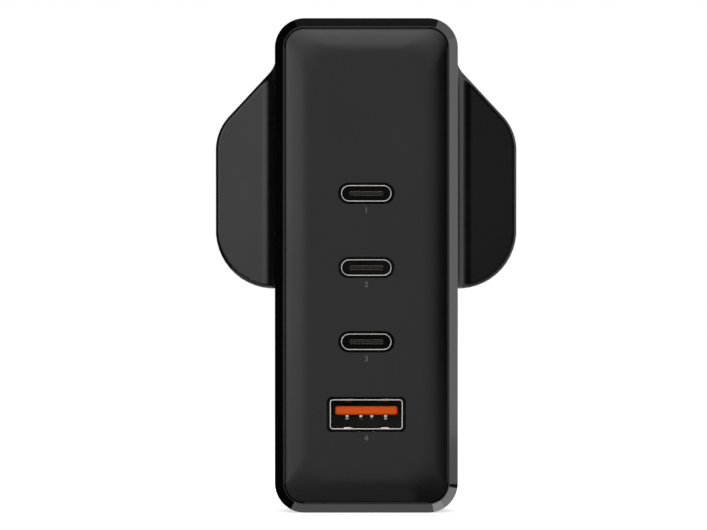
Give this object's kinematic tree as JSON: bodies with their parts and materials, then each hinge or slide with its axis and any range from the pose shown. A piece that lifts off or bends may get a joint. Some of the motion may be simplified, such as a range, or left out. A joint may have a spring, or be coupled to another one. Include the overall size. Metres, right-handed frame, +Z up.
{
  "type": "usb charger",
  "caption": "Tall black wall charger with a fixed three-pin mains plug on its back, small oval ports and one oblong port down its crowned front.",
  "frame": {"origin": "on the plug's flat face, halfway between the live and neutral pins", "axes": "+Z up towards the earth pin, +Y out of the plug's face along the pins, the ports look along -Y"},
  "size_m": [0.0558, 0.0687, 0.09],
  "materials": {
    "housing_plastic": "fine matte moulded black plastic",
    "frame_gloss": "polished black plastic",
    "panel_matte": "soft matte black plastic",
    "pin_plastic": "black moulded insulation",
    "pin_brass": "nickel plated brass",
    "spring_brass": "sprung bronze strip",
    "port_steel": "bright drawn steel",
    "tongue_black": "black moulded plastic",
    "tongue_orange": "orange moulded plastic",
    "contact_metal": "plated spring contacts",
    "board_green": "green circuit board",
    "film_amber": "insulating film",
    "aluminium_sheet": "plain sheet",
    "pad_silicone": "soft silicone pad",
    "ferrite": "dark sintered ferrite",
    "winding_tape": "yellow insulating tape",
    "copper_wire": "enamelled copper wire",
    "core_green": "green coated ring core",
    "can_sleeve": "dark shrunk sleeve",
    "can_metal": "bare drawn can",
    "box_yellow": "yellow potted box",
    "disc_blue": "blue dipped disc",
    "chip_black": "black moulded chip",
    "fuse_brown": "brown moulded block"
  },
  "bodies": {
    "root": {"housing": "housing_plastic", "bezel_frame": "frame_gloss", "front_panel": "panel_matte", "earth_pin": "pin_plastic", "live_pin": "pin_brass", "neutral_pin": "pin_brass", "live_pin_sleeve": "pin_plastic", "neutral_pin_sleeve": "pin_plastic", "live_clip": "spring_brass", "neutral_clip": "spring_brass", "top_port_shell": "port_steel", "top_port_tongue": "tongue_black", "top_port_contacts": "contact_metal", "middle_port_shell": "port_steel", "middle_port_tongue": "tongue_black", "middle_port_contacts": "contact_metal", "lower_port_shell": "port_steel", "lower_port_tongue": "tongue_black", "lower_port_contacts": "contact_metal", "large_port_shell": "port_steel", "large_port_tongue": "tongue_orange", "large_port_contacts": "contact_metal", "port_board": "board_green", "main_board": "board_green", "board_link": "contact_metal", "insulation_film": "film_amber", "left_heat_spreader": "aluminium_sheet", "right_heat_spreader": "aluminium_sheet", "thermal_pad": "pad_silicone", "transformer_core": "ferrite", "transformer_bobbin": "chip_black", "transformer_winding": "winding_tape", "choke_core": "core_green", "choke_winding": "copper_wire", "bulk_capacitor_1": "can_sleeve", "bulk_capacitor_2": "can_sleeve", "bulk_capacitor_3": "can_sleeve", "bulk_capacitor_4": "can_sleeve", "filter_capacitor": "box_yellow", "safety_capacitor": "disc_blue", "fuse": "fuse_brown", "bridge_rectifier": "chip_black", "power_switch": "chip_black", "primary_controller": "chip_black", "output_capacitor_1": "can_metal", "output_capacitor_2": "can_metal", "port_controllers": "chip_black", "port_inductors": "ferrite"}
  },
  "joints": []
}
